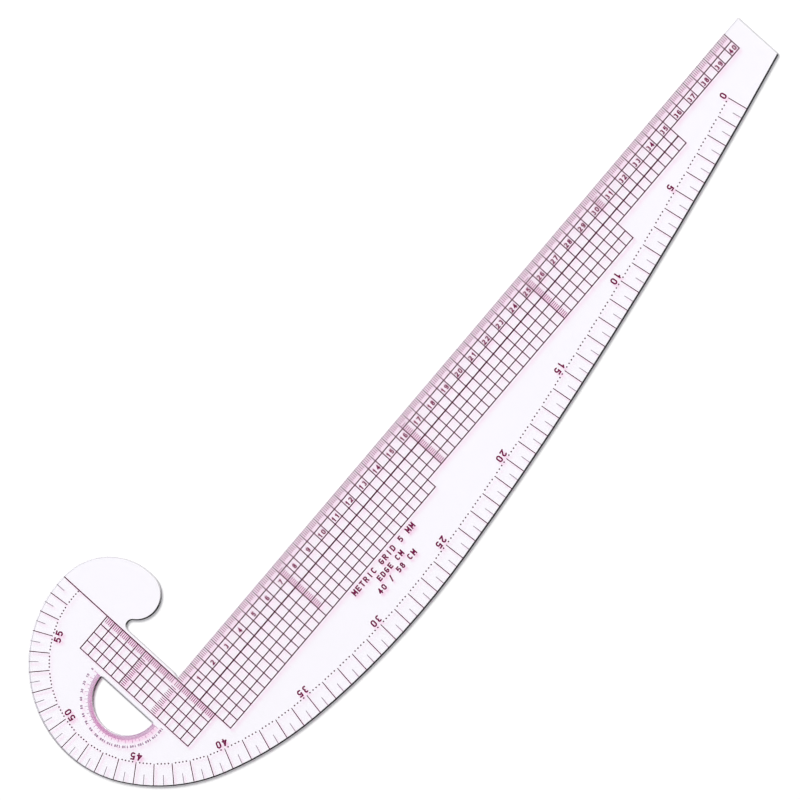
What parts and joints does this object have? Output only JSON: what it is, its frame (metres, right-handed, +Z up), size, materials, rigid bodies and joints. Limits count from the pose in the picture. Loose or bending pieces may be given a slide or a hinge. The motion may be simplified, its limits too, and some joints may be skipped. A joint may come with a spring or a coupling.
{
  "type": "french curve",
  "caption": "Clear plastic french curve with a straight scale, a curved scale, 5 mm grids, a hooked head and a D-shaped protractor window.",
  "frame": {"origin": "the zero of the straight scale, at the inner corner between the straight edge and the short arm, on the resting face", "axes": "+X along the straight edge towards the tip, +Y up the short arm towards the hooked head, +Z up through the sheet, out of the printed face"},
  "size_m": [0.4719, 0.1428, 0.002],
  "materials": {
    "clear_sheet": "clear, polished, very slightly lavender",
    "grid_ink": "printed, near-black violet",
    "mark_ink": "printed, magenta",
    "degree_ink": "printed, light magenta",
    "number_ink": "printed, dark maroon",
    "pale_ink": "printed, grey"
  },
  "bodies": {
    "root": {"blade": "clear_sheet", "zero_line": "grid_ink", "straight_scale_marks": "mark_ink", "straight_scale_numbers": "number_ink", "long_grid_lines": "grid_ink", "cross_band_marks": "mark_ink", "short_arm_marks": "mark_ink", "short_grid_lines": "grid_ink", "curve_scale_marks": "grid_ink", "curve_half_marks": "pale_ink", "curve_dotted_line": "grid_ink", "curve_scale_numbers": "number_ink", "protractor_marks": "degree_ink", "protractor_numbers": "degree_ink", "caption_lettering": "number_ink"}
  },
  "joints": []
}
